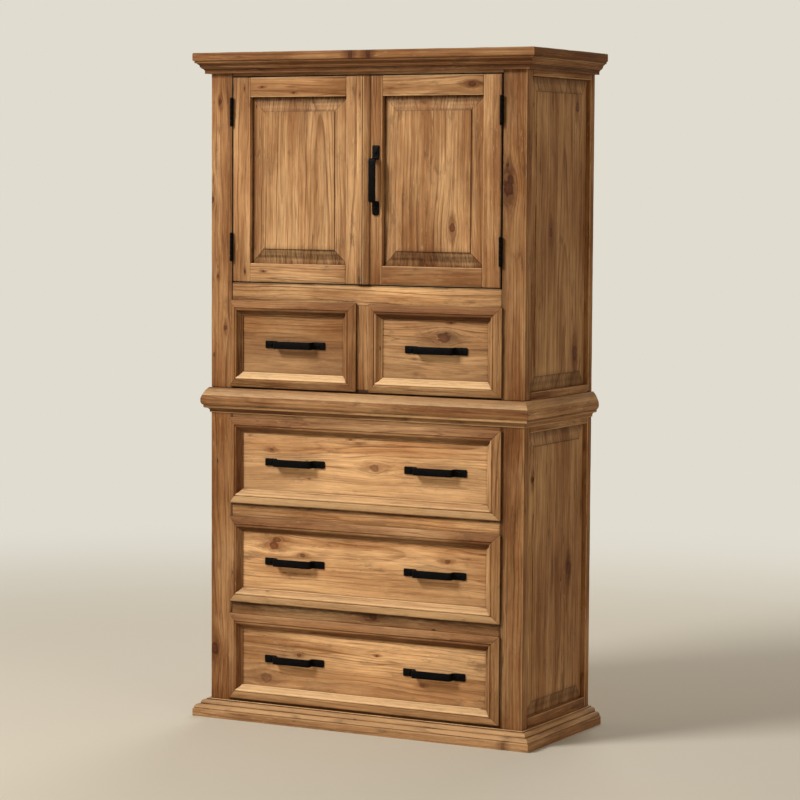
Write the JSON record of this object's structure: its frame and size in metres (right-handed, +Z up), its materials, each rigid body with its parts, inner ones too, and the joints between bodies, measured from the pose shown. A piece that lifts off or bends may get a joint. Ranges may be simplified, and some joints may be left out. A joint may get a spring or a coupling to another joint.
{
  "type": "pine cupboard chest",
  "caption": "Tall two-part pine cabinet: a cupboard with raised-panel doors over small drawers, on a chest of wide drawers, with stepped mouldings and black iron pulls.",
  "frame": {"origin": "on the floor, at the middle of the cabinet's whole footprint", "axes": "+Z up, the doors and drawers face -Y, +X to the right seen from the front"},
  "size_m": [1.018, 0.452, 1.8],
  "materials": {
    "stained_pine": "honey-brown stained and waxed pine, dark glaze in the quirks, rubbed edges",
    "inside_pine": "planed pine, thinly stained",
    "black_iron": "matt black forged iron"
  },
  "bodies": {
    "carcass": {"back_boards": "inside_pine", "crown_moulding": "stained_pine", "cupboard_floor": "inside_pine", "cupboard_shelf": "inside_pine", "drawer_rails": "stained_pine", "drawer_runners": "inside_pine", "lower_bottom_rail": "stained_pine", "lower_left_post": "stained_pine", "lower_left_side_frame": "stained_pine", "lower_left_side_panel": "stained_pine", "lower_right_post": "stained_pine", "lower_right_side_frame": "stained_pine", "lower_right_side_panel": "stained_pine", "lower_top_rail": "stained_pine", "plinth_board": "stained_pine", "plinth_moulding": "stained_pine", "post_hinges": "black_iron", "shelf_cleats": "inside_pine", "small_drawer_divider": "stained_pine", "top_board": "stained_pine", "upper_bottom_rail": "stained_pine", "upper_left_post": "stained_pine", "upper_left_side_frame": "stained_pine", "upper_left_side_panel": "stained_pine", "upper_middle_rail": "stained_pine", "upper_right_post": "stained_pine", "upper_right_side_frame": "stained_pine", "upper_right_side_panel": "stained_pine", "upper_top_rail": "stained_pine", "waist_board": "stained_pine", "waist_moulding": "stained_pine"},
    "left_door": {"left_door_bead": "stained_pine", "left_door_frame": "stained_pine", "left_door_hinge_leaves": "black_iron", "left_door_panel": "stained_pine"},
    "right_door": {"right_door_bead": "stained_pine", "right_door_frame": "stained_pine", "right_door_hinge_leaves": "black_iron", "right_door_panel": "stained_pine", "right_door_pull": "black_iron"},
    "small_left_drawer": {"small_left_drawer_box": "inside_pine", "small_left_drawer_front": "stained_pine", "small_left_drawer_moulding": "stained_pine", "small_left_drawer_pull": "black_iron"},
    "small_right_drawer": {"small_right_drawer_box": "inside_pine", "small_right_drawer_front": "stained_pine", "small_right_drawer_moulding": "stained_pine", "small_right_drawer_pull": "black_iron"},
    "high_wide_drawer": {"high_wide_drawer_box": "inside_pine", "high_wide_drawer_front": "stained_pine", "high_wide_drawer_moulding": "stained_pine", "high_wide_drawer_pulls": "black_iron"},
    "middle_wide_drawer": {"middle_wide_drawer_box": "inside_pine", "middle_wide_drawer_front": "stained_pine", "middle_wide_drawer_moulding": "stained_pine", "middle_wide_drawer_pulls": "black_iron"},
    "low_wide_drawer": {"low_wide_drawer_box": "inside_pine", "low_wide_drawer_front": "stained_pine", "low_wide_drawer_moulding": "stained_pine", "low_wide_drawer_pulls": "black_iron"}
  },
  "joints": [
    {"name": "left_door_hinge", "type": "hinge", "parent": "carcass", "child": "left_door", "pos_m": [-0.40325, -0.1962, 1.4615], "axis": [0, 0, -1], "range_deg": [0, 110]},
    {"name": "right_door_hinge", "type": "hinge", "parent": "carcass", "child": "right_door", "pos_m": [0.40325, -0.1962, 1.4615], "axis": [0, 0, 1], "range_deg": [0, 110]},
    {"name": "small_left_drawer_slide", "type": "slide", "parent": "carcass", "child": "small_left_drawer", "axis": [0, -1, 0], "range_m": [0, 0.3]},
    {"name": "small_right_drawer_slide", "type": "slide", "parent": "carcass", "child": "small_right_drawer", "axis": [0, -1, 0], "range_m": [0, 0.3]},
    {"name": "high_wide_drawer_slide", "type": "slide", "parent": "carcass", "child": "high_wide_drawer", "axis": [0, -1, 0], "range_m": [0, 0.3]},
    {"name": "middle_wide_drawer_slide", "type": "slide", "parent": "carcass", "child": "middle_wide_drawer", "axis": [0, -1, 0], "range_m": [0, 0.3]},
    {"name": "low_wide_drawer_slide", "type": "slide", "parent": "carcass", "child": "low_wide_drawer", "axis": [0, -1, 0], "range_m": [0, 0.3]}
  ]
}
